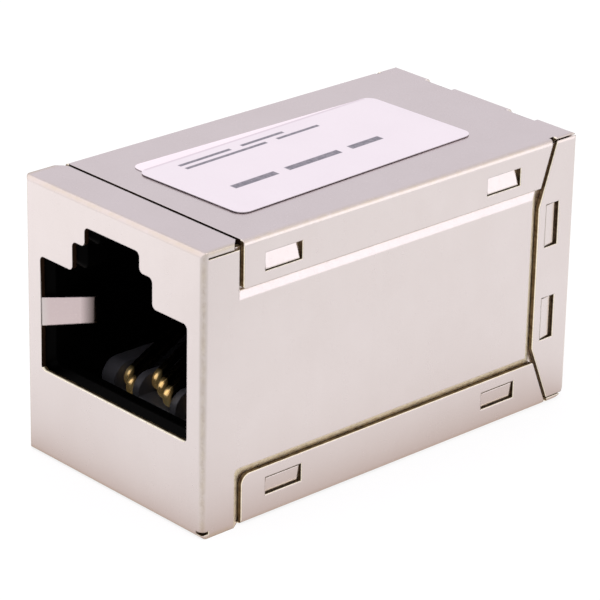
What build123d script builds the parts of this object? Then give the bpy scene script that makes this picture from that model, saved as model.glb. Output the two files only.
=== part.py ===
from build123d import *
import math
import os

# Inline coupler for two modular plugs. Millimetres, +Z up, origin under the middle of the base.
# The front port faces -Y and the rear port faces +Y. Depths are counted from the front plane.

# Plug opening
plug_width = 12.04
plug_floor = 5.17
plug_height = 6.69
key_width = 6.54
key_height = 1.69
latch_width = 4.46
latch_height = 1.13
opening_corner = 0.3
cavity_depth = 12.4
cavity_inset = 0.13
latch_stop = 1.9

# Shield
side_margin = 1.255
top_margin = 1.47
end_wall = 1.35
sheet = 0.3
seat_gap = 0.02
plate_bend_inside = 0.03
wrap_bend_inside = 0.04
base_fold_inside = 0.9

# Front shell
flange_depth = 2.56
flange_chamfer = 0.5
corner_slit = 0.12
relief_reach = 0.5
relief_low = 0.2
relief_height = 0.2
joggle_run = 0.52
joggle_corner = 0.7
upper_strip_run = 0.3
lower_strip_run = 0.5
strip_gap = 0.05
panel_end_run = 0.55
panel_end_gap = 0.04

# Rear shell
seam_gap = 0.2
upper_flap_height = 2.65
upper_flap_corner = 0.15
upper_slant_rise = 1.22
upper_slant_run = 1.3
upper_slant_slit = 0.38
lower_flap_height = 2.88
lower_flap_corner = 0.6
lower_slant_rise = 0.91
lower_slant_run = 1.55
lower_slant_slit = 0.28
rear_flap_length = 2.87
end_slit = 0.1
fold_notch_offset = 3.28
fold_notch_width = 2.25
fold_notch_depth = 0.54

# Snap windows in the flaps and the catches in them
window_length = 2.62
window_width = 1.06
upper_window_edge = 1.53
lower_window_edge = 1.74
lower_window_shift = 0.22
front_window_depth = 5.5
rear_window_inset = 5.8
end_window_edge = 1.8
end_window_spread = 2.83
end_window_lift = 0.2
catch_drop = 0.06
catch_gap = 0.09
catch_end_gap = 0.18
catch_sink = 0.12

# Grounding fingers
finger_height = 1.64
finger_tip_height = 1.54
finger_rise = 3.4
finger_root = 0.12
finger_reach = 1.6
finger_tip_depth = 2.55
finger_end_depth = 3.3
finger_end_gap = 0.2
finger_bend = 0.18

# Jack housing
housing_setback = 0.15
housing_slip = 0.05
housing_chamfer = 0.65
lead_in = 0.45
lead_in_depth = 0.5
floor_lip = 1.1
shelf_height = 0.95
half_gap = 0.04
pocket_wall = 1.05

# Circuit board
board_thickness = 1.0
board_lift = 1.3
board_ledge = 0.55
board_end_gap = 0.5
board_slip = 0.04
tail_hole = 0.62

# Contact carrier
carrier_shoulder = 0.6
carrier_front = 3.3
carrier_end_gap = 0.3
carrier_nose = 1.0
carrier_slip = 0.05
wire_slip = 0.06
groove_length = 3.5
groove_end_gap = 0.5

# Contacts, in groups from left to right
contact_pitch = 1.02
wire = 0.4
hairpin_bend = 0.45
tail_bend = 0.25
rise_angle = 28.0
free_end_lift = 1.85
tail_length = 0.6
tail_row_insets = (2.7, 1.2)
group_drops = (0.83, 0.4, 0.83)
hairpin_proud = 0.14
hairpin_stagger = 0.48
hairpin_steps = ((1.45, 0), (2, 1, 0), (2.2, 1, 2))

# Labels, one over the other on the top
label_width = 8.1
label_length = 17.8
label_corner = 0.7
label_turn = 2.25
label_x = 0.15
label_y = -0.07
under_label_width = 8.0
under_label_length = 17.3
under_label_corner = 0.6
under_label_turn = -0.8
under_label_x = -0.38
under_label_y = -0.13
label_thickness = 0.04

width = plug_width + 2 * side_margin
height = plug_floor + plug_height + key_height + latch_height + top_margin
length = 2 * (cavity_depth + end_wall)
plate_bend = plate_bend_inside + sheet
wrap_bend = wrap_bend_inside + sheet
base_fold = base_fold_inside + sheet
wrap_start = flange_depth + seam_gap
strip_end = wrap_start - strip_gap
strip_depth = strip_end - lower_strip_run
rear_flap_start = length - rear_flap_length
panel_depth = rear_flap_start - panel_end_gap - panel_end_run
wall_seat = width / 2 - sheet - seat_gap
wall_inside = wall_seat - sheet
catch_height = sheet + seat_gap - catch_drop
finger_middle = plug_floor + finger_rise
housing_front = sheet + housing_setback
housing_half = wall_inside - housing_slip
board_half = housing_half - pocket_wall - board_slip
board_low = sheet + board_lift
board_high = board_low + board_thickness
shelf_low = plug_floor - shelf_height
carrier_half = board_half - carrier_shoulder
carrier_end = cavity_depth - carrier_end_gap
groove_start = carrier_end - groove_length
contact_groups = [group for group, steps in enumerate(hairpin_steps) for step in steps]
contact_steps = [step for steps in hairpin_steps for step in steps]
contact_numbers = range(1, len(contact_steps) + 1)


def at(depth):
    return depth - length / 2


def block(low, high):
    size = [b - a for a, b in zip(low, high)]
    centre = [(a + b) / 2 for a, b in zip(low, high)]
    return Pos(*centre) * Box(*size)


def across_x(outline, x0, x1):
    """Prism of a (Y, Z) outline between two X values."""
    face = Plane((x0, 0, 0), x_dir=(0, 1, 0), z_dir=(1, 0, 0)) * Polygon(*outline, align=None)
    return extrude(face, amount=x1 - x0, dir=(1, 0, 0))


def across_y(outline, y0, y1):
    """Prism of an (X, Z) outline between two Y values."""
    face = Plane((0, y0, 0), x_dir=(1, 0, 0), z_dir=(0, -1, 0)) * Polygon(*outline, align=None)
    return extrude(face, amount=y1 - y0, dir=(0, 1, 0))


def across_z(outline, z0, z1):
    """Prism of an (X, Y) outline between two Z values."""
    return extrude(Pos(0, 0, z0) * Polygon(*outline, align=None), amount=z1 - z0)


def upside_down(shape):
    return Pos(0, 0, height) * mirror(shape, about=Plane.XY)


def both_sides(shape):
    return shape + mirror(shape, about=Plane.YZ)


def rear_twin(shape):
    return Rot(0, 0, 180) * shape


# Plug opening, shared by the two plates and the two housings

def opening_outline(grow):
    """Stepped face in (X, Z): plug below, latch key and latch slot above."""
    plug_half = plug_width / 2 + grow
    key_half = key_width / 2 + grow
    latch_half = latch_width / 2 + grow
    low = plug_floor - grow
    plug_top = plug_floor + plug_height + grow
    key_top = plug_top + key_height
    latch_top = key_top + latch_height
    right = [
        (plug_half, low),
        (plug_half, plug_top),
        (key_half, plug_top),
        (key_half, key_top),
        (latch_half, key_top),
        (latch_half, latch_top),
    ]
    left = [(-x, z) for x, z in reversed(right)]
    face = Polygon(*right, *left, align=None)
    return fillet(face.vertices(), opening_corner)


def opening_plane(depth):
    return Plane((0, at(depth), 0), x_dir=(1, 0, 0), z_dir=(0, -1, 0))


def opening_prism(grow, depth0, depth1):
    return extrude(opening_plane(depth0) * opening_outline(grow), amount=depth1 - depth0, dir=(0, 1, 0))


def finger():
    """Right grounding finger: bent in from the opening's edge, its tip turned back to the wall."""
    edge = plug_width / 2
    path = FilletPolyline(
        (edge + 2 * sheet, at(sheet / 2)),
        (edge + finger_root, at(sheet / 2)),
        (edge - finger_reach, at(finger_tip_depth)),
        (edge - finger_end_gap - cavity_inset - sheet / 2, at(finger_end_depth)),
        radius=finger_bend,
    )
    strip = Pos(0, 0, finger_middle - finger_height / 2) * trace(path, line_width=sheet)
    blade = extrude(strip, amount=finger_height, dir=(0, 0, 1))
    root = finger_height / 2
    tip = finger_tip_height / 2
    taper = across_x(
        [
            (at(0), finger_middle - root),
            (at(finger_tip_depth), finger_middle - tip),
            (at(finger_end_depth + sheet), finger_middle - tip),
            (at(finger_end_depth + sheet), finger_middle + tip),
            (at(finger_tip_depth), finger_middle + tip),
            (at(0), finger_middle + root),
        ],
        0,
        width / 2,
    )
    return blade & taper


# Front shell

def cap():
    """Front plate with its four bends: two flanges and the roots of the side walls."""
    outer = block((-width / 2, at(0), 0), (width / 2, at(flange_depth), height))
    outer = fillet(outer.faces().sort_by(Axis.Y)[0].edges(), plate_bend)
    inner = block(
        (sheet - width / 2, at(sheet), sheet),
        (width / 2 - sheet, at(flange_depth + sheet), height - sheet),
    )
    inner = fillet(inner.faces().sort_by(Axis.Y)[0].edges(), plate_bend_inside)
    skin = outer - inner - opening_prism(0, -sheet, 2 * sheet)
    side_end = block(
        (width / 2 - sheet, at(strip_depth), -sheet),
        (width / 2 + sheet, at(flange_depth + sheet), height - sheet),
    )
    top_slit = block(
        (width / 2 - sheet, at(plate_bend), height - sheet - corner_slit),
        (width / 2 + sheet, at(flange_depth + sheet), height - sheet),
    )
    base_edge = width / 2 - sheet - corner_slit
    base_slit = block(
        (base_edge, at(plate_bend), -sheet),
        (width / 2 - sheet, at(flange_depth + sheet), sheet),
    )
    relief = block(
        (width / 2 - relief_reach, at(-sheet), relief_low),
        (width / 2 + sheet, at(relief_reach), relief_low + relief_height),
    )
    corner = across_z(
        [
            (width / 2, at(flange_depth - flange_chamfer)),
            (width / 2, at(flange_depth)),
            (width / 2 - flange_chamfer, at(flange_depth)),
        ],
        height - sheet,
        height,
    )
    base_corner = Pos(base_edge - width / 2, 0, 0) * upside_down(corner)
    cuts = side_end + top_slit + base_slit + corner + base_corner
    return skin - both_sides(cuts) - relief


def panel_form():
    """Raised centre panel of the right wall, sloped down to the seat level all round."""
    outside = width / 2
    low = lower_flap_height
    high = height - upper_flap_height
    section = across_y(
        [(wall_seat - sheet, low), (wall_seat, low), (outside, low + joggle_run)]
        + [(outside, high - joggle_run), (wall_seat, high), (wall_seat - sheet, high)],
        at(strip_depth),
        at(length),
    )
    plan = across_z(
        [(wall_seat - sheet, at(0)), (outside, at(0)), (outside, at(panel_depth))]
        + [(wall_seat, at(panel_depth + panel_end_run))]
        + [(wall_seat - sheet, at(panel_depth + panel_end_run))],
        0,
        height,
    )
    return section & plan


def flap_catch(depth, edge, sink):
    """Ramp in an upper flap window: high at its lower edge, sinking towards its top."""
    low = height - edge - window_width / 2 + catch_gap
    high = low + window_width - 2 * catch_gap
    front = at(depth - window_length / 2 + catch_gap)
    rear = at(depth + window_length / 2 - catch_end_gap)
    outline = [(wall_seat - sheet, low), (wall_seat + catch_height, low)]
    outline += [(wall_seat + catch_height - sink, high), (wall_seat - sheet, high)]
    return across_y(outline, front, rear)


def end_catch(level):
    """Ramp in a rear flap window: high at its front edge, sinking towards its rear."""
    middle = length - end_window_edge
    front = at(middle - window_width / 2 + catch_gap)
    rear = at(middle + window_width / 2 - catch_end_gap)
    outline = [(wall_seat - sheet, front), (wall_seat + catch_height, front)]
    outline += [(wall_seat + catch_height - catch_sink, rear), (wall_seat - sheet, rear)]
    half = window_length / 2 - catch_gap
    return across_z(outline, level - half, level + half)


def flap_window_places():
    """Depth and distance from the edge, for the upper flaps' windows and for the lower flaps' ones."""
    depths = (front_window_depth, length - rear_window_inset)
    upper = [(depth, upper_window_edge) for depth in depths]
    lower = [(depth + lower_window_shift, lower_window_edge) for depth in depths]
    return upper, lower


def end_window_levels():
    middle = height / 2 + end_window_lift
    return middle - end_window_spread, middle + end_window_spread


def round_joggle_corner(form):
    """Round the inner corner where the strip's slope meets the panel's lower slope."""
    start = at(strip_depth)
    corner = [
        edge
        for edge in form.edges()
        if edge.bounding_box().size.X > sheet
        and edge.bounding_box().size.Y > lower_strip_run / 2
        and start - sheet < edge.center().Y < start + lower_strip_run
        and abs(edge.center().Z - lower_flap_height) < joggle_run
    ]
    return fillet(corner, joggle_corner)


def strip_form(run, low, high):
    """Strip beside the front bend, sloped down to the seat level before a flap."""
    root = at(strip_depth / 2)
    inside = wall_seat - 2 * sheet
    outline = [(inside, root), (width / 2, root), (width / 2, at(strip_end - run))]
    outline += [(wall_seat, at(strip_end)), (inside, at(strip_end))]
    return across_z(outline, low, high)


def wall():
    """Right side wall, one sheet thick, following its joggled outer form."""
    root = at(strip_depth / 2)
    end = at(length - wrap_bend)
    corner = base_fold - wrap_bend
    outline = [(root, wrap_bend), (end - corner, wrap_bend), (end, wrap_bend + corner)]
    outline += [(end, height - wrap_bend), (root, height - wrap_bend)]
    form = across_x(outline, wall_seat - 2 * sheet, wall_seat)
    form += strip_form(lower_strip_run, 0, height / 2)
    form += strip_form(upper_strip_run, height / 2, height - sheet - corner_slit)
    form += panel_form()
    form = round_joggle_corner(form)
    upper, lower = flap_window_places()
    for depth, edge in upper:
        form += flap_catch(depth, edge, catch_height)
    for depth, edge in lower:
        form += upside_down(flap_catch(depth, edge, catch_sink))
    for level in end_window_levels():
        form += end_catch(level)
    return form - Pos(-sheet, 0, 0) * form


def front_shell():
    return cap() + both_sides(wall() + finger())


# Rear shell

def side_half(flap_height, slant_rise, slant_run, slant_slit):
    """Upper half of the right side's opening, with the slit before the rear flap."""
    front = at(rear_flap_start)
    slant_start = flap_height + slant_rise
    past_top = slant_run * sheet / slant_start
    flap_rear = front - slant_slit + slant_run * slant_rise / slant_start
    outline = [
        (at(0), height - flap_height),
        (flap_rear, height - flap_height),
        (front + slant_run + past_top - slant_slit, height + sheet),
        (front + slant_run + past_top, height + sheet),
        (front, height - slant_start),
        (front, height / 2),
        (at(0), height / 2),
    ]
    return across_x(outline, width / 2 - sheet - end_slit, width)


def side_cut():
    """Right side opened between the flaps, with the slits round the ends of the rear flap."""
    upper = side_half(upper_flap_height, upper_slant_rise, upper_slant_run, upper_slant_slit)
    lower = side_half(lower_flap_height, lower_slant_rise, lower_slant_run, lower_slant_slit)
    inside = width / 2 - sheet - end_slit
    past_rear = at(length + sheet)
    rear_flap_front = at(rear_flap_start)
    low = height - sheet - end_slit
    half_slit = end_slit / math.sqrt(8)
    mitre = across_y(
        [
            (inside - half_slit, low + half_slit),
            (inside + half_slit, low - half_slit),
            (inside + half_slit + 2 * sheet, low - half_slit + 2 * sheet),
            (inside - half_slit + 2 * sheet, low + half_slit + 2 * sheet),
        ],
        rear_flap_front + upper_slant_run - upper_slant_slit,
        past_rear,
    )
    base_slit = block(
        (inside, rear_flap_front + lower_slant_run - lower_slant_slit, sheet),
        (width, past_rear, sheet + end_slit),
    )
    return upper + upside_down(lower) + mitre + base_slit


def flap_window(depth, edge):
    return block(
        (wall_seat, at(depth - window_length / 2), height - edge - window_width / 2),
        (width, at(depth + window_length / 2), height - edge + window_width / 2),
    )


def flap_windows():
    """Windows of the right flaps: two above, two below and two in the rear flap."""
    upper, lower = flap_window_places()
    cuts = [flap_window(*place) for place in upper]
    cuts += [upside_down(flap_window(*place)) for place in lower]
    middle = at(length - end_window_edge)
    for level in end_window_levels():
        cuts.append(
            block(
                (wall_seat, middle - window_width / 2, level - window_length / 2),
                (width, middle + window_width / 2, level + window_length / 2),
            )
        )
    return cuts


def fold_notches():
    """Relief notches along the top rear fold."""
    notch = block(
        (fold_notch_offset - fold_notch_width / 2, at(length - fold_notch_depth), height - fold_notch_depth),
        (fold_notch_offset + fold_notch_width / 2, at(length + sheet), height + sheet),
    )
    return both_sides(notch)


def round_flap_corners(shell, level, radius):
    """Round the front corners of the flaps that end at a level."""
    front = shell.edges().filter_by(Axis.X).group_by(Axis.Y)[0]
    corners = [edge for edge in front if abs(edge.center().Z - level) < seat_gap]
    return fillet(corners, radius)


def folded_box(low, high, radius, base_radius):
    """Box with rounded folds along Y and round its rear face, mitred where three folds meet."""
    box = block(low, high)
    rear = box.faces().sort_by(Axis.Y)[-1].edges()
    along = fillet(box.edges().filter_by(Axis.Y), radius)
    base_edge, top_edge = rear.filter_by(Axis.X).sort_by(Axis.Z)
    base = fillet(base_edge, base_radius)
    top = fillet(top_edge, radius)
    upright = fillet(rear.filter_by(Axis.Z), radius)
    return along & base & top & upright


def rear_shell():
    outer = folded_box(
        (-width / 2, at(wrap_start), 0),
        (width / 2, at(length), height),
        wrap_bend,
        base_fold,
    )
    inner = folded_box(
        (sheet - width / 2, at(wrap_start - sheet), sheet),
        (width / 2 - sheet, at(length - sheet), height - sheet),
        wrap_bend_inside,
        base_fold_inside,
    )
    shell = outer - inner - rear_twin(opening_prism(0, -sheet, 2 * sheet))
    cuts = side_cut()
    for window in flap_windows():
        cuts += window
    shell = shell - both_sides(cuts) - fold_notches()
    shell = round_flap_corners(shell, lower_flap_height, lower_flap_corner)
    shell = round_flap_corners(shell, height - upper_flap_height, upper_flap_corner)
    return shell + rear_twin(both_sides(finger()))


# Labels

def under_label():
    face = RectangleRounded(under_label_width, under_label_length, under_label_corner)
    place = Pos(under_label_x, under_label_y, height) * Rot(0, 0, under_label_turn)
    return place * extrude(face, amount=label_thickness)


def label():
    face = RectangleRounded(label_width, label_length, label_corner)
    place = Pos(label_x, label_y, height + label_thickness) * Rot(0, 0, label_turn)
    return place * extrude(face, amount=label_thickness)


# Jack housing

def jack_housing():
    """Moulded insert of the front port: plug cavity above, board and carrier pocket below."""
    roof = height - sheet - housing_slip
    base = sheet + housing_slip
    body = block((-housing_half, at(housing_front), base), (housing_half, -half_gap / 2, roof))
    low_edge = body.edges().filter_by(Axis.X).group_by(Axis.Y)[0].sort_by(Axis.Z)[0]
    body = chamfer(low_edge, housing_chamfer)
    mouth = loft(
        [
            opening_plane(housing_front) * opening_outline(lead_in - cavity_inset),
            opening_plane(housing_front + lead_in_depth) * opening_outline(-cavity_inset),
        ]
    )
    cavity = opening_prism(-cavity_inset, housing_front, cavity_depth)
    latch_roof = plug_floor + plug_height + key_height + latch_height - cavity_inset
    key_half = key_width / 2
    latch_room = block(
        (-key_half, at(housing_front + latch_stop), plug_floor + plug_height / 2),
        (key_half, at(cavity_depth), latch_roof),
    )
    pocket_front = at(housing_front + floor_lip)
    room_half = board_half + board_slip
    slot_half = carrier_half + carrier_slip
    board_room = block((-room_half, pocket_front, board_low - board_slip), (room_half, 0, shelf_low))
    below_room = block(
        (board_ledge - room_half, pocket_front, 0),
        (room_half - board_ledge, 0, board_high),
    )
    carrier_room = block(
        (-slot_half, pocket_front, board_high),
        (slot_half, at(cavity_depth), plug_floor + plug_height / 2),
    )
    return body - mouth - cavity - latch_room - board_room - below_room - carrier_room


# Contacts

def contact_x(number):
    return (number - (len(contact_numbers) + 1) / 2) * contact_pitch


def group_level(group):
    """Height of the lower run of a group's wires, under the hairpins at their front."""
    return plug_floor - group_drops[group] - hairpin_bend


def tail_depth(number):
    return carrier_end - tail_row_insets[number % len(tail_row_insets)]


def contact(number):
    """Square spring wire: tail through the board, run forward, hairpin, then rise to the free end."""
    level = group_level(contact_groups[number - 1])
    tail = tail_depth(number)
    front = carrier_front - hairpin_proud + hairpin_stagger * contact_steps[number - 1]
    turn = front + wire / 2 + hairpin_bend
    half = wire / 2
    stem_low = board_low - tail_length
    stem = Pos(tail, (stem_low + level + half) / 2) * Rectangle(wire, level + half - stem_low)
    run = Line((tail, level), (turn, level))
    hairpin = JernArc(run @ 1, (-1, 0), hairpin_bend, rise_angle - 180)
    climb = plug_floor + free_end_lift - (hairpin @ 1).Y
    reach = climb / math.tan(math.radians(rise_angle))
    spring = Line(hairpin @ 1, (hairpin @ 1) + Vector(reach, climb))
    strip = stem + trace(Wire([run, hairpin, spring]), line_width=wire)
    outside = strip.vertices().sort_by_distance((tail + half, level + half))[0]
    inside = strip.vertices().sort_by_distance((tail - half, level - half))[0]
    strip = chamfer([outside, inside], tail_bend)
    side = contact_x(number) - wire / 2
    return Plane((side, at(0), 0), x_dir=(0, 1, 0), z_dir=(1, 0, 0)) * extrude(strip, amount=wire)


def contact_carrier():
    """Comb under the plug: ribs with rounded noses between the groups, a groove for each tail behind."""
    body = block((-carrier_half, at(carrier_front), board_high), (carrier_half, at(carrier_end), plug_floor))
    nose = body.edges().filter_by(Axis.X).group_by(Axis.Y)[0].sort_by(Axis.Z)[-1]
    body = fillet(nose, carrier_nose)
    body += block(
        (-board_half, at(carrier_front + carrier_nose), board_high),
        (board_half, at(carrier_end), shelf_low - carrier_slip),
    )
    side = wire / 2 + wire_slip
    for group in range(len(hairpin_steps)):
        members = [contact_x(number) for number in contact_numbers if contact_groups[number - 1] == group]
        body -= block(
            (members[0] - side, at(0), group_level(group) - side),
            (members[-1] + side, at(groove_start), height),
        )
    for number in contact_numbers:
        middle = contact_x(number)
        body -= block(
            (middle - side, at(groove_start), board_low),
            (middle + side, at(carrier_end - groove_end_gap), height),
        )
    return body


def circuit_board():
    half_length = length / 2 - housing_front - floor_lip - board_end_gap
    board = block((-board_half, -half_length, board_low), (board_half, half_length, board_high))
    for number in contact_numbers:
        outline = RegularPolygon(tail_hole / 2, 8, major_radius=False)
        drill = extrude(outline, amount=2 * board_thickness, both=True)
        drill = Pos(contact_x(number), at(tail_depth(number)), board_low) * drill
        board -= drill
        board -= rear_twin(drill)
    return board


nodes = {
    "front_shell": front_shell(),
    "rear_shell": rear_shell(),
    "under_label": under_label(),
    "label": label(),
    "front_jack_housing": jack_housing(),
    "rear_jack_housing": rear_twin(jack_housing()),
    "front_contact_carrier": contact_carrier(),
    "rear_contact_carrier": rear_twin(contact_carrier()),
    "circuit_board": circuit_board(),
}
for number in contact_numbers:
    nodes[f"front_contact_{number}"] = contact(number)
    nodes[f"rear_contact_{number}"] = rear_twin(contact(number))

os.makedirs("parts", exist_ok=True)
for name, shape in nodes.items():
    export_step(shape, f"parts/{name}.step")
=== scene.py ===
import math

import bpy
from mathutils import Matrix, Vector

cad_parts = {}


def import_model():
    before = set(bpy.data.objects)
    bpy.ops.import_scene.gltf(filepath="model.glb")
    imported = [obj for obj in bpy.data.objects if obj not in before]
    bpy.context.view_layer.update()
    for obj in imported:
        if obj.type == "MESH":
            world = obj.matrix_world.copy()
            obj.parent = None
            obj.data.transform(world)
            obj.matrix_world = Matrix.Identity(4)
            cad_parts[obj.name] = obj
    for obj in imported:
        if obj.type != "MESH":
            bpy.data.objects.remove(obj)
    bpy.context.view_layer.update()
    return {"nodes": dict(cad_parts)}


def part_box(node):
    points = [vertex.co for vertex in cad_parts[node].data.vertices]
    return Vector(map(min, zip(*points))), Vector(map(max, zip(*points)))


MM = 0.001

# Sizes of the part that its looks follow
SHEET = 0.3 * MM
FINGER_LEVEL = 8.57 * MM
FINGER_HALF = 0.9 * MM
LABEL_TURN = math.radians(2.25)
LABEL_PLACE = (0.15 * MM, -0.07 * MM, 0.0)

# Rounding of the contact wires
WIRE_ROUNDING = 0.12 * MM
ROUNDING_STEPS = 3
SHARP_ANGLE = math.radians(40)
WELD_REACH = 0.001 * MM

# Drawing on the label, in millimetres from the label's middle
LABEL_HALF = 4.05
# Band of painted shadow along the label's left edge
EDGE_SHADOW_ACROSS = (-LABEL_HALF - 0.1, -LABEL_HALF + 0.17)
EDGE_SHADOW_ALONG = (-8.4, 8.4)
BAR_SOFTNESS = 0.03
BAR_ROWS = (
    ((0.75, 1.25), ((-6.6, -3.4), (-2.6, 1.4), (2.2, 4.6))),
    ((-2.75, -2.5), ((-6.6, -0.6), (0.2, 3.4))),
    ((-3.3, -3.05), ((-6.6, -2.8), (-2.0, 1.2))),
)

# Depths between which a look fades out or comes in
FOLD_WEAR = (0.05 * MM, 0.32 * MM)
CORNER_WEAR_AND_SHADE = (0.1 * MM, 0.26 * MM)
FINGER_INSIDE = (6.0 * MM, 6.1 * MM)
FINGER_EDGE = (FINGER_HALF, 1.05 * FINGER_HALF)
FINGER_ROOT = (0.1 * MM, 0.4 * MM)
FINGER_TIP_SHADE = (1.75 * MM, 2.3 * MM)
# Where the painted shade in the gaps is weaker, on the rear half's top and bottom
LESS_SHADE_FROM = (0.0, 1.0 * MM)
LESS_SHADE_LEVEL = (0.35 * MM, 0.5 * MM)
WIRE_PAINTED_SHADE = (0.2 * MM, 0.5 * MM)

# Depths of the surface textures, and the rounding that the shading gives to edges
FINE_RELIEF = 0.01 * MM
SURFACE_RELIEF = 0.02 * MM
FILM_RELIEF = 0.03 * MM
SOFT_EDGE = 0.1 * MM
NOISE_SPAN = (0.3, 0.7)
CREVICE_SAMPLES = 12

# Looks of a shell's faces and of a label's faces, as the numbers of their materials
PLATED, CUT_EDGE, SLOPE, PAINTED_SHADE_EDGE, PORT_LIP = range(5)
FILM_FACE, LIT_EDGE, DIM_EDGE = range(3)

# Margins and turns by which those faces are told apart
SKIN = 0.01 * MM
NEAR_BOX = 0.1 * MM
FOLD_MARGIN = 0.45 * MM
PORT_MARGIN = 0.5 * MM
SIDE_DEPTH = 2 * SHEET + 0.05 * MM
EDGE_ON = 0.35
FACING = 0.5
SLOPE_LEAST = 0.6
SLOPE_MOST = 0.95
SLOPE_UPWARD = 0.3

# Floor, and the floor that reflections show, with a painted shadow and painted light
FLOOR_HALF = 3.0
SHEEN_LEVEL = -0.05 * MM
PAINTED_SHADOW_REACH = 3.5 * MM
SHEEN_END_FACTOR = 1.6
VIEWER_PAINTED_DIM = (14 * MM, 26 * MM)
LEFT_PAINTED_LIFT = (20 * MM, 50 * MM)

# Lights and camera, the camera solved from the box's edges in the photograph
LIGHT_TARGET = (0.0, 0.0, 8.0 * MM)
ROOM_COLOUR = (0.793, 0.766, 0.816)
CAMERA_PLACE = (0.12039, -0.11246, 0.07865)
CAMERA_RIGHT = (0.67562, 0.73700, 0.01844)
CAMERA_UP = (-0.30399, 0.25570, 0.91770)
CAMERA_BACK = (0.67165, -0.62563, 0.39680)
CAMERA_LENS = 194.55
CAMERA_SENSOR = 36.0
CAMERA_NEAR = 0.01
CAMERA_FAR = 20.0

BLACK = (0.0, 0.0, 0.0)
WHITE = (1.0, 1.0, 1.0)


def rgba(colour):
    return (*colour, 1.0)


def empty_material(name):
    material = bpy.data.materials.new(name)
    material.use_nodes = True
    material.node_tree.nodes.clear()
    return material, material.node_tree


def new_material(name):
    """Material with an empty tree apart from its shader and output."""
    material, tree = empty_material(name)
    shader = tree.nodes.new("ShaderNodeBsdfPrincipled")
    output = tree.nodes.new("ShaderNodeOutputMaterial")
    tree.links.new(shader.outputs["BSDF"], output.inputs["Surface"])
    return material, tree, shader


def set_input(tree, socket, value):
    """Link a socket to another one, or set it to a number, a vector or a colour."""
    if isinstance(value, bpy.types.NodeSocket):
        tree.links.new(value, socket)
    elif socket.type == "RGBA":
        socket.default_value = rgba(value)
    else:
        socket.default_value = value


def set_inputs(tree, node, **inputs):
    """Set or link some inputs of a node, by socket name with underscores for spaces."""
    for key, value in inputs.items():
        set_input(tree, node.inputs[key.replace("_", " ")], value)


def add(tree, kind, **inputs):
    node = tree.nodes.new(kind)
    set_inputs(tree, node, **inputs)
    return node


def position(tree):
    return tree.nodes.new("ShaderNodeNewGeometry").outputs["Position"]


def noise(tree, vector, scale, detail=2.0, roughness=0.5):
    kind = "ShaderNodeTexNoise"
    node = add(tree, kind, Vector=vector, Scale=scale, Detail=detail, Roughness=roughness)
    return node.outputs["Fac"]


def stretched(tree, vector, scale):
    node = add(tree, "ShaderNodeMapping", Vector=vector, Scale=scale)
    return node.outputs["Vector"]


def remap(tree, value, span, to=(0.0, 1.0)):
    """Value moved from one span to another, and held at the ends."""
    low, high = span
    to_low, to_high = to
    node = add(
        tree,
        "ShaderNodeMapRange",
        Value=value,
        From_Min=low,
        From_Max=high,
        To_Min=to_low,
        To_Max=to_high,
    )
    return node.outputs["Result"]


def fade(tree, value, span):
    """1 up to the start of a span, 0 from its end on."""
    return remap(tree, value, span, to=(1.0, 0.0))


def spread(tree, value, to=(0.0, 1.0)):
    """Noise moved from the span that it mostly keeps to."""
    return remap(tree, value, NOISE_SPAN, to)


def math_node(tree, operation, a, b=0.0):
    node = tree.nodes.new("ShaderNodeMath")
    node.operation = operation
    set_input(tree, node.inputs[0], a)
    set_input(tree, node.inputs[1], b)
    return node.outputs["Value"]


def mix_colour(tree, factor, a, b):
    node = tree.nodes.new("ShaderNodeMix")
    node.data_type = "RGBA"
    set_inputs(tree, node, Factor=factor, A=a, B=b)
    return node.outputs["Result"]


def soft_normal(tree):
    """Normal that turns gently over sharp edges."""
    return add(tree, "ShaderNodeBevel", Radius=SOFT_EDGE).outputs["Normal"]


def bump(tree, height, strength, distance, normal=None):
    node = add(tree, "ShaderNodeBump", Height=height, Strength=strength, Distance=distance)
    if normal is not None:
        set_inputs(tree, node, Normal=normal)
    return node.outputs["Normal"]


def split(tree, vector):
    node = add(tree, "ShaderNodeSeparateXYZ", Vector=vector)
    return node.outputs["X"], node.outputs["Y"], node.outputs["Z"]


def crevice(tree, reach, closed, opened):
    """1 in narrow gaps and corners, 0 on open surfaces: the mask for painted shade."""
    node = add(tree, "ShaderNodeAmbientOcclusion", Distance=reach)
    node.samples = CREVICE_SAMPLES
    return fade(tree, node.outputs["AO"], (closed, opened))


def fold_distances(tree, place, box):
    """Depth of a point under the box's nearest side, front or rear, and top or bottom."""
    depths = []
    for value, low, high in zip(split(tree, place), *box):
        offset = math_node(tree, "ABSOLUTE", math_node(tree, "SUBTRACT", value, (low + high) / 2))
        depths.append(math_node(tree, "SUBTRACT", (high - low) / 2, offset))
    return depths


def middle_value(tree, a, b, c):
    low = math_node(tree, "MINIMUM", a, b)
    high = math_node(tree, "MAXIMUM", a, b)
    return math_node(tree, "MAXIMUM", low, math_node(tree, "MINIMUM", high, c))


def plating_tone(tree, place):
    """Colour of the plating, with soft mottling."""
    dull = (0.742, 0.668, 0.655)
    bright = (0.772, 0.700, 0.690)
    mottle = noise(tree, place, scale=420, detail=3, roughness=0.55)
    cloud = noise(tree, place, scale=130)
    mottle_tone = spread(tree, mottle, to=(0.0, 0.6))
    cloud_tone = spread(tree, cloud, to=(0.0, 0.4))
    return mix_colour(tree, math_node(tree, "ADD", mottle_tone, cloud_tone), dull, bright)


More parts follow.
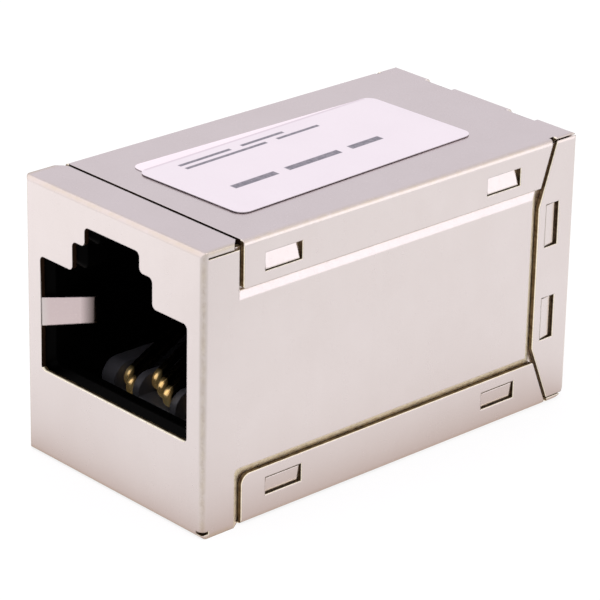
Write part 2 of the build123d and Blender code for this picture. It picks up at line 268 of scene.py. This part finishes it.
def worn_folds_and_corner_shade(tree, place, depths, colour):
    """Plating's colour, rubbed warm along the folds, and on the upright corners brown specks that are
    partly wear and partly painted shade.
    """
    warm = (0.70, 0.61, 0.50)
    wear_and_shade_brown = (0.60, 0.52, 0.47)
    side, end, level = depths
    fold = fade(tree, middle_value(tree, side, end, level), FOLD_WEAR)
    rubbing = noise(tree, place, scale=1500, detail=3, roughness=0.6)
    rub = remap(tree, rubbing, span=(0.3, 0.6), to=(0.3, 0.9))
    colour = mix_colour(tree, math_node(tree, "MULTIPLY", fold, rub), colour, warm)
    # Upright corners: brown specks, partly wear and partly painted shade
    corner_wear_and_shade = fade(tree, math_node(tree, "MAXIMUM", side, end), CORNER_WEAR_AND_SHADE)
    specks = noise(tree, place, scale=3200, detail=3, roughness=0.7)
    speck = remap(tree, specks, span=(0.42, 0.62), to=(0.1, 0.7))
    return mix_colour(tree, math_node(tree, "MULTIPLY", corner_wear_and_shade, speck), colour, wear_and_shade_brown)


def finger_painted_shade(tree, place, depths, colour):
    """Plating's colour, with painted shade on the grounding fingers, darkest at their tips."""
    # Painted shade on the fingers: a darker face, near black at the tip
    face = (0.735, 0.612, 0.617)
    tip = (0.18, 0.145, 0.14)
    _, end, _ = depths
    across, _, up = split(tree, place)
    off_level = math_node(tree, "ABSOLUTE", math_node(tree, "SUBTRACT", up, FINGER_LEVEL))
    finger = fade(tree, math_node(tree, "ABSOLUTE", across), FINGER_INSIDE)
    finger = math_node(tree, "MULTIPLY", finger, fade(tree, off_level, FINGER_EDGE))
    finger = math_node(tree, "MULTIPLY", finger, remap(tree, end, FINGER_ROOT))
    shaded_blade = mix_colour(tree, remap(tree, end, FINGER_TIP_SHADE), face, tip)
    return mix_colour(tree, finger, colour, shaded_blade)


def gap_painted_shade(tree, place, depths, colour):
    """Plating's colour, with painted shade in the gaps, but little on the rear half's top and bottom.
    """
    wear_and_shade_brown = (0.10, 0.065, 0.035)
    least_shade = 0.2
    _, _, level = depths
    _, along, _ = split(tree, place)
    # Ambient occlusion darkens the gaps to brown: painted shade
    crevice_shade = crevice(tree, reach=0.3 * MM, closed=0.12, opened=0.36)
    less_shaded = math_node(tree, "MULTIPLY", remap(tree, along, LESS_SHADE_FROM), fade(tree, level, LESS_SHADE_LEVEL))
    share = remap(tree, less_shaded, span=(0.0, 1.0), to=(1.0, least_shade))
    return mix_colour(tree, math_node(tree, "MULTIPLY", crevice_shade, share), colour, wear_and_shade_brown)


def shield_metal(box):
    """Satin nickel plating: fine grain, soft mottling, warm worn folds, corner specks that are partly
    wear and partly painted shade, and painted shade on the fingers and in the gaps.
    """
    streak_height = 0.5
    material, tree, shader = new_material("satin_nickel_with_painted_shade")
    place = position(tree)
    depths = fold_distances(tree, place, box)
    colour = plating_tone(tree, place)
    colour = worn_folds_and_corner_shade(tree, place, depths, colour)
    colour = finger_painted_shade(tree, place, depths, colour)
    colour = gap_painted_shade(tree, place, depths, colour)
    grain = noise(tree, place, scale=9000, detail=3, roughness=0.6)
    streak = noise(tree, stretched(tree, place, (2600, 2600, 120)), scale=1.0)
    grain_rough = remap(tree, grain, span=(0.25, 0.75), to=(0.2, 0.28))
    streak_rough = spread(tree, streak, to=(-0.015, 0.015))
    relief = math_node(tree, "ADD", grain, math_node(tree, "MULTIPLY", streak, streak_height))
    set_inputs(
        tree,
        shader,
        Base_Color=colour,
        Metallic=1.0,
        Roughness=math_node(tree, "ADD", grain_rough, streak_rough),
        Normal=bump(tree, relief, strength=0.1, distance=SURFACE_RELIEF, normal=soft_normal(tree)),
    )
    return material


def cut_edge_shade_and_glint(name, box, lip_depth, painted_glow):
    """Sheared edge of the sheet: a bright lip with a painted highlight and glow, and brown bare metal
    deeper in, darkened as painted shade.
    """
    # Cream lip colours and their emission: a painted highlight and glow
    lip_dull = (0.84, 0.75, 0.56)
    lip_bright = (0.97, 0.91, 0.78)
    # Bare metal deeper in, near black-brown: partly its own colour, partly painted shade
    base_dark = (0.10, 0.06, 0.03)
    base_light = (0.30, 0.22, 0.12)
    full_lip = 0.4 * lip_depth
    material, tree, shader = new_material(name)
    place = position(tree)
    tear = noise(tree, stretched(tree, place, (2500, 2500, 6000)), scale=1.0, detail=3, roughness=0.6)
    glint_colour = mix_colour(tree, spread(tree, tear), lip_dull, lip_bright)
    base_and_shade_colour = mix_colour(tree, spread(tree, tear), base_dark, base_light)
    side, end, level = fold_distances(tree, place, box)
    depth = math_node(tree, "MINIMUM", side, math_node(tree, "MINIMUM", end, level))
    glint = fade(tree, depth, (full_lip, lip_depth))
    set_inputs(
        tree,
        shader,
        Base_Color=mix_colour(tree, glint, base_and_shade_colour, glint_colour),
        Emission_Color=mix_colour(tree, glint, BLACK, glint_colour),
        Emission_Strength=painted_glow,
        Metallic=remap(tree, glint, span=(0.0, 1.0), to=(1.0, 0.4)),
        Roughness=spread(tree, tear, to=(0.4, 0.55)),
        Normal=bump(tree, tear, strength=0.2, distance=SURFACE_RELIEF, normal=soft_normal(tree)),
    )
    return material


def drawn_metal():
    """Pressed slopes of the side panel, in a duller olive tint than the plating, with painted shade in
    the crevices.
    """
    dull = (0.88, 0.80, 0.62)
    bright = (0.97, 0.90, 0.75)
    wear_and_shade_brown = (0.09, 0.05, 0.025)
    material, tree, shader = new_material("drawn_slope_crevice_shade")
    grain = noise(tree, position(tree), scale=5000, detail=3, roughness=0.6)
    colour = mix_colour(tree, spread(tree, grain), dull, bright)
    # Painted shade in the crevices, darkening the slope to brown
    crevice_shade = crevice(tree, reach=0.2 * MM, closed=0.08, opened=0.3)
    set_inputs(
        tree,
        shader,
        Base_Color=mix_colour(tree, crevice_shade, colour, wear_and_shade_brown),
        Metallic=1.0,
        Roughness=spread(tree, grain, to=(0.45, 0.6)),
        Normal=bump(tree, grain, strength=0.1, distance=SURFACE_RELIEF),
    )
    return material


def plastic(name, dark, light, rough, gloss):
    """Moulded plastic with a fine spark-eroded texture and slow tone changes."""
    material, tree, shader = new_material(name)
    place = position(tree)
    texture = noise(tree, place, scale=7000)
    flow = noise(tree, place, scale=260, detail=3)
    set_inputs(
        tree,
        shader,
        Base_Color=mix_colour(tree, spread(tree, flow), dark, light),
        Specular_IOR_Level=gloss,
        Roughness=spread(tree, texture, to=rough),
        Normal=bump(tree, texture, strength=0.2, distance=SURFACE_RELIEF, normal=soft_normal(tree)),
    )
    return material


def gold_wire(name, tip):
    """Gold plating on spring wire: drawing marks, a hairpin with a faint painted glow, and painted
    shade on the runs behind its tip.
    """
    red_gold = (1.0, 0.60, 0.20)
    pale_gold = (1.0, 0.78, 0.38)
    painted_shade_colour = (0.035, 0.026, 0.014)
    material, tree, shader = new_material(name)
    place = position(tree)
    marks = noise(tree, stretched(tree, place, (9000, 900, 900)), scale=1.0)
    patch = noise(tree, place, scale=900, detail=3, roughness=0.6)
    gold = mix_colour(tree, remap(tree, patch, span=(0.35, 0.7)), red_gold, pale_gold)
    _, along, _ = split(tree, place)
    depth = math_node(tree, "SUBTRACT", tip, math_node(tree, "ABSOLUTE", along))
    painted_shade_behind = remap(tree, depth, WIRE_PAINTED_SHADE)
    set_inputs(
        tree,
        shader,
        # Painted shade behind the tip, and a faint painted glow on the hairpin
        Base_Color=mix_colour(tree, painted_shade_behind, gold, painted_shade_colour),
        Emission_Color=mix_colour(tree, painted_shade_behind, gold, BLACK),
        Emission_Strength=0.06,
        Metallic=1.0,
        Roughness=spread(tree, patch, to=(0.2, 0.36)),
        Normal=bump(tree, marks, strength=0.1, distance=FINE_RELIEF),
    )
    return material


def board_laminate():
    """Green mask over a woven laminate."""
    dark = (0.01, 0.07, 0.03)
    light = (0.015, 0.1, 0.045)
    material, tree, shader = new_material("board_mask")
    place = position(tree)
    weave = add(tree, "ShaderNodeTexBrick", Vector=place, Scale=1800.0).outputs["Fac"]
    cloud = noise(tree, place, scale=300, detail=3)
    set_inputs(
        tree,
        shader,
        Base_Color=mix_colour(tree, spread(tree, cloud), dark, light),
        Roughness=spread(tree, cloud, to=(0.22, 0.34)),
        Normal=bump(tree, weave, strength=0.08, distance=FINE_RELIEF),
    )
    return material


def between(tree, value, low, high):
    """1 from one place on the label to another, given in millimetres, and 0 outside."""
    rise = remap(tree, value, ((low - BAR_SOFTNESS) * MM, (low + BAR_SOFTNESS) * MM))
    fall = fade(tree, value, ((high - BAR_SOFTNESS) * MM, (high + BAR_SOFTNESS) * MM))
    return math_node(tree, "MULTIPLY", rise, fall)


def bar(tree, across, along, x_range, y_range):
    """1 inside a plain bar on the label, 0 outside it."""
    in_width = between(tree, across, *x_range)
    in_length = between(tree, along, *y_range)
    return math_node(tree, "MULTIPLY", in_width, in_length)


def label_drawing(tree, place, fibre, colour):
    """Film's colour, with a painted shadow along the left edge and plain printed bars."""
    rim_painted_shadow = (0.66, 0.58, 0.63)
    ink_grey = (0.16, 0.15, 0.18)
    turn = (0.0, 0.0, LABEL_TURN)
    local = add(tree, "ShaderNodeMapping", Vector=place, Location=LABEL_PLACE, Rotation=turn)
    local.vector_type = "TEXTURE"
    across, along, _ = split(tree, local.outputs["Vector"])
    # Painted shadow of the top label's left edge
    painted_edge_shadow = bar(tree, across, along, EDGE_SHADOW_ACROSS, EDGE_SHADOW_ALONG)
    colour = mix_colour(tree, painted_edge_shadow, colour, rim_painted_shadow)
    ink = 0.0
    for x_range, spans in BAR_ROWS:
        for y_range in spans:
            ink = math_node(tree, "MAXIMUM", ink, bar(tree, across, along, x_range, y_range))
    cover = remap(tree, fibre, span=(0.25, 0.6), to=(0.8, 1.0))
    return mix_colour(tree, math_node(tree, "MULTIPLY", ink, cover), colour, ink_grey)


def label_film(name, dark, light, printed=False):
    """White film label: soft sheen, faint fibre and slow waviness."""
    fibre_height = 0.2
    material, tree, shader = new_material(name)
    place = position(tree)
    fibre = noise(tree, place, scale=5200, detail=3, roughness=0.6)
    wave = noise(tree, place, scale=240)
    colour = mix_colour(tree, spread(tree, wave), dark, light)
    if printed:
        colour = label_drawing(tree, place, fibre, colour)
    relief = math_node(tree, "ADD", math_node(tree, "MULTIPLY", fibre, fibre_height), wave)
    set_inputs(
        tree,
        shader,
        Base_Color=colour,
        Roughness=spread(tree, fibre, to=(0.42, 0.56)),
        Normal=bump(tree, relief, strength=0.1, distance=FILM_RELIEF),
    )
    return material


def floor_material():
    """Floor that lights itself to white, so that the box's shadow on it stays faint."""
    dark = (0.19, 0.19, 0.19)
    light = (0.21, 0.21, 0.21)
    material, tree, shader = new_material("floor_white")
    cloud = noise(tree, position(tree), scale=14)
    set_inputs(
        tree,
        shader,
        Base_Color=mix_colour(tree, cloud, dark, light),
        Roughness=0.9,
        Specular_IOR_Level=0.0,
        Emission_Color=WHITE,
        Emission_Strength=0.82,
    )
    return material


def outside(tree, value, half):
    """How far a coordinate lies outside a range around zero."""
    beyond = math_node(tree, "SUBTRACT", math_node(tree, "ABSOLUTE", value), half)
    return math_node(tree, "MAXIMUM", beyond, 0.0)


def painted_reflection_floor(box):
    """Floor as the metal mirrors it: a painted warm shadow close to the box, painted dimming towards
    the viewer and painted brightening to the left.
    """
    open_floor = (1.025, 1.015, 1.015)
    shadow_beside_box = (0.66, 0.565, 0.515)
    diagonal = math.sqrt(0.5)
    material, tree = empty_material("painted_reflection_floor")
    _, (half_x, half_y, _) = box
    x, y, _ = split(tree, position(tree))
    over_x = outside(tree, x, half_x)
    over_y = math_node(tree, "MULTIPLY", outside(tree, y, half_y), SHEEN_END_FACTOR)
    square_x = math_node(tree, "POWER", over_x, 2.0)
    square_y = math_node(tree, "POWER", over_y, 2.0)
    distance = math_node(tree, "SQRT", math_node(tree, "ADD", square_x, square_y))
    # Painted shadow, strongest beside the box
    shadow_near_box = math_node(tree, "EXPONENT", math_node(tree, "MULTIPLY", distance, -1.0 / PAINTED_SHADOW_REACH))
    to_viewer = math_node(tree, "MULTIPLY", math_node(tree, "SUBTRACT", x, y), diagonal)
    to_left = math_node(tree, "MULTIPLY", math_node(tree, "ADD", x, y), -diagonal)
    painted_dim = remap(tree, to_viewer, VIEWER_PAINTED_DIM, to=(1.0, 0.8))
    painted_lift = remap(tree, to_left, LEFT_PAINTED_LIFT, to=(1.0, 1.15))
    painted_glow = add(
        tree,
        "ShaderNodeEmission",
        Color=mix_colour(tree, shadow_near_box, open_floor, shadow_beside_box),
        Strength=math_node(tree, "MULTIPLY", painted_dim, painted_lift),
    )
    output = tree.nodes.new("ShaderNodeOutputMaterial")
    tree.links.new(painted_glow.outputs["Emission"], output.inputs["Surface"])
    return material


def floor_plane(name, level, material):
    mesh = bpy.data.meshes.new(name)
    signs = ((-1, -1), (1, -1), (1, 1), (-1, 1))
    corners = [(x * FLOOR_HALF, y * FLOOR_HALF, level) for x, y in signs]
    mesh.from_pydata(corners, [], [(0, 1, 2, 3)])
    floor = bpy.data.objects.new(name, mesh)
    floor.data.materials.append(material)
    bpy.context.scene.collection.objects.link(floor)
    return floor


def add_floor(box):
    """White floor, and a twin just under it that only the reflections show, painted with shadow and
    light.
    """
    floor = floor_plane("floor", 0.0, floor_material())
    floor.visible_glossy = False
    sheen = floor_plane("painted_reflection_floor", SHEEN_LEVEL, painted_reflection_floor(box))
    sheen.visible_camera = False
    sheen.visible_diffuse = False
    sheen.visible_shadow = False


def add_light(name, place, size, radiance, colour):
    """Soft rectangular panel turned to the object, as bright as its radiance from the front."""
    width, height = size
    data = bpy.data.lights.new(name, "AREA")
    data.shape = "RECTANGLE"
    data.size = width
    data.size_y = height
    data.energy = radiance * math.pi * width * height
    data.color = colour
    lamp = bpy.data.objects.new(name, data)
    lamp.location = place
    lamp.rotation_mode = "QUATERNION"
    lamp.rotation_quaternion = (Vector(LIGHT_TARGET) - Vector(place)).to_track_quat("-Z", "Y")
    lamp.visible_camera = False
    bpy.context.scene.collection.objects.link(lamp)


def add_lights():
    """Four soft panels in a pale room."""
    add_light(
        "overhead",
        place=(0.0, 0.0, 0.6),
        size=(0.6, 0.6),
        radiance=1.3,
        colour=(1.0, 0.985, 0.985),
    )
    add_light(
        "key",
        place=(-0.34, -0.22, 0.31),
        size=(0.5, 0.66),
        radiance=0.40,
        colour=(1.0, 0.96, 0.9),
    )
    add_light(
        "rear_low",
        place=(0.368, 0.320, 0.12),
        size=(0.25, 0.38),
        radiance=0.72,
        colour=WHITE,
    )
    add_light(
        "rear_high",
        place=(0.238, 0.376, 0.403),
        size=(0.16, 0.16),
        radiance=0.3,
        colour=(1.0, 0.88, 0.65),
    )
    world = bpy.data.worlds.new("studio")
    world.use_nodes = True
    tree = world.node_tree
    set_inputs(tree, tree.nodes["Background"], Color=ROOM_COLOUR, Strength=1.0)
    bpy.context.scene.world = world


def add_camera():
    data = bpy.data.cameras.new("camera")
    data.sensor_width = CAMERA_SENSOR
    data.lens = CAMERA_LENS
    data.clip_start = CAMERA_NEAR
    data.clip_end = CAMERA_FAR
    camera = bpy.data.objects.new("camera", data)
    turn = Matrix((CAMERA_RIGHT, CAMERA_UP, CAMERA_BACK)).transposed()
    camera.rotation_mode = "QUATERNION"
    camera.rotation_quaternion = turn.to_quaternion()
    camera.location = CAMERA_PLACE
    bpy.context.scene.collection.objects.link(camera)
    bpy.context.scene.camera = camera


def shell_part(polygon, box):
    """Number of the material that a shell's face has, by its place in the box and its turn."""
    (_, low_y, low_z), (high_x, high_y, high_z) = box
    x, y, z = abs(polygon.center.x), polygon.center.y, polygon.center.z
    normal = polygon.normal
    from_end = min(y - low_y, high_y - y)
    from_level = min(z - low_z, high_z - z)
    off_ends = from_end > FOLD_MARGIN
    off_levels = from_level > FOLD_MARGIN

    in_side = high_x - SIDE_DEPTH < x < high_x - SKIN
    if in_side and abs(normal.x) < EDGE_ON and min(from_end, from_level) > NEAR_BOX:
        return CUT_EDGE
    sloping = SLOPE_LEAST < abs(normal.x) < SLOPE_MOST and normal.z < SLOPE_UPWARD
    if in_side and sloping and off_ends and off_levels:
        return SLOPE

    in_top = SKIN < high_z - z < SHEET - SKIN and x < high_x - SHEET
    # Cut edges of the top sheet get the painted shade
    if in_top and abs(normal.z) < EDGE_ON and off_ends:
        return PAINTED_SHADE_EDGE

    in_end = SKIN < from_end < SHEET - SKIN and x < high_x - PORT_MARGIN
    on_finger = abs(z - FINGER_LEVEL) <= FINGER_HALF
    # Upward port edges get the lip with a painted glint; the others get painted shade
    if in_end and abs(normal.y) < EDGE_ON and off_levels and not on_finger:
        return PORT_LIP if normal.z > FACING else PAINTED_SHADE_EDGE
    return PLATED


def film_part(polygon):
    """Number of the material that a label's face has, by its turn."""
    if abs(polygon.normal.z) > FACING:
        return FILM_FACE
    return LIT_EDGE if polygon.normal.x > FACING else DIM_EDGE


def paint(node, materials, choose=None):
    """Give a node its materials, and each of its faces the one with the chosen number."""
    node.data.materials.clear()
    for material in materials:
        node.data.materials.append(material)
    if choose is not None:
        for polygon in node.data.polygons:
            polygon.material_index = choose(polygon)


def round_edges(node):
    """Join the facets' shared corners, then round the sharp edges between them."""
    weld = node.modifiers.new("joined", "WELD")
    weld.merge_threshold = WELD_REACH
    bevel = node.modifiers.new("rounded", "BEVEL")
    bevel.width = WIRE_ROUNDING
    bevel.segments = ROUNDING_STEPS
    bevel.limit_method = "ANGLE"
    bevel.angle_limit = SHARP_ANGLE


def shield_box():
    """Lowest and highest corners of the two shells together."""
    front_low, front_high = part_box("front_shell")
    rear_low, rear_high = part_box("rear_shell")
    return [[min(p) for p in zip(front_low, rear_low)], [max(p) for p in zip(front_high, rear_high)]]


def shell_materials(box):
    """Materials of a shell, in the order of their numbers."""
    # Near-black sheet edges where shade falls: painted shade
    painted_shade_edge = plastic(
        "painted_shade_edge",
        dark=(0.008, 0.004, 0.0025),
        light=(0.03, 0.015, 0.008),
        rough=(0.3, 0.45),
        gloss=0.1,
    )
    return (
        shield_metal(box),
        # Sheet edges with a painted glint on their lips and painted shade deeper in
        cut_edge_shade_and_glint("cut_edge", box, lip_depth=0.09 * MM, painted_glow=0.4),
        drawn_metal(),
        painted_shade_edge,
        cut_edge_shade_and_glint("port_lip", box, lip_depth=0.18 * MM, painted_glow=0.6),
    )


def inner_materials():
    """Materials of the plastic pieces and the board, by a node's name without front or rear."""
    return {
        "jack_housing": plastic(
            "black_moulding",
            dark=(0.0005, 0.0005, 0.0005),
            light=(0.0014, 0.0013, 0.0012),
            rough=(0.25, 0.4),
            gloss=0.02,
        ),
        "contact_carrier": plastic(
            "grey_moulding",
            dark=(0.050, 0.052, 0.060),
            light=(0.085, 0.083, 0.090),
            rough=(0.35, 0.5),
            gloss=0.4,
        ),
        "circuit_board": board_laminate(),
    }


def label_materials():
    """Materials of each label, in the order of their numbers."""
    under = label_film("under_film", dark=(0.86, 0.77, 0.81), light=(0.88, 0.79, 0.83))
    film = label_film("label_film", dark=(0.755, 0.69, 0.73), light=(0.775, 0.71, 0.75), printed=True)
    lit_edge = label_film("film_edge_lit", dark=(0.55, 0.50, 0.52), light=(0.65, 0.59, 0.62))
    dim_edge = label_film("film_edge_dim", dark=(0.26, 0.23, 0.25), light=(0.38, 0.34, 0.36))
    return {
        "under_label": (under, lit_edge, dim_edge),
        "label": (film, lit_edge, dim_edge),
    }


def dress(nodes, box):
    """Give each node the materials that go with its name, and round the contact wires."""
    shell = shell_materials(box)
    inner = inner_materials()
    labels = label_materials()
    for name, node in nodes.items():
        kind = name.removeprefix("front_").removeprefix("rear_")
        if kind == "shell":
            paint(node, shell, lambda polygon: shell_part(polygon, box))
        elif kind in labels:
            paint(node, labels[kind], film_part)
        elif kind in inner:
            paint(node, [inner[kind]])
        else:
            low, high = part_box(name)
            tip = max(abs(low[1]), abs(high[1]))
            paint(node, [gold_wire(name.replace("contact", "gold"), tip)])
            round_edges(node)


def main():
    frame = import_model()
    scene = bpy.context.scene
    scene.view_settings.view_transform = "Standard"
    box = shield_box()
    dress(frame["nodes"], box)
    add_floor(box)
    add_lights()
    add_camera()


main()
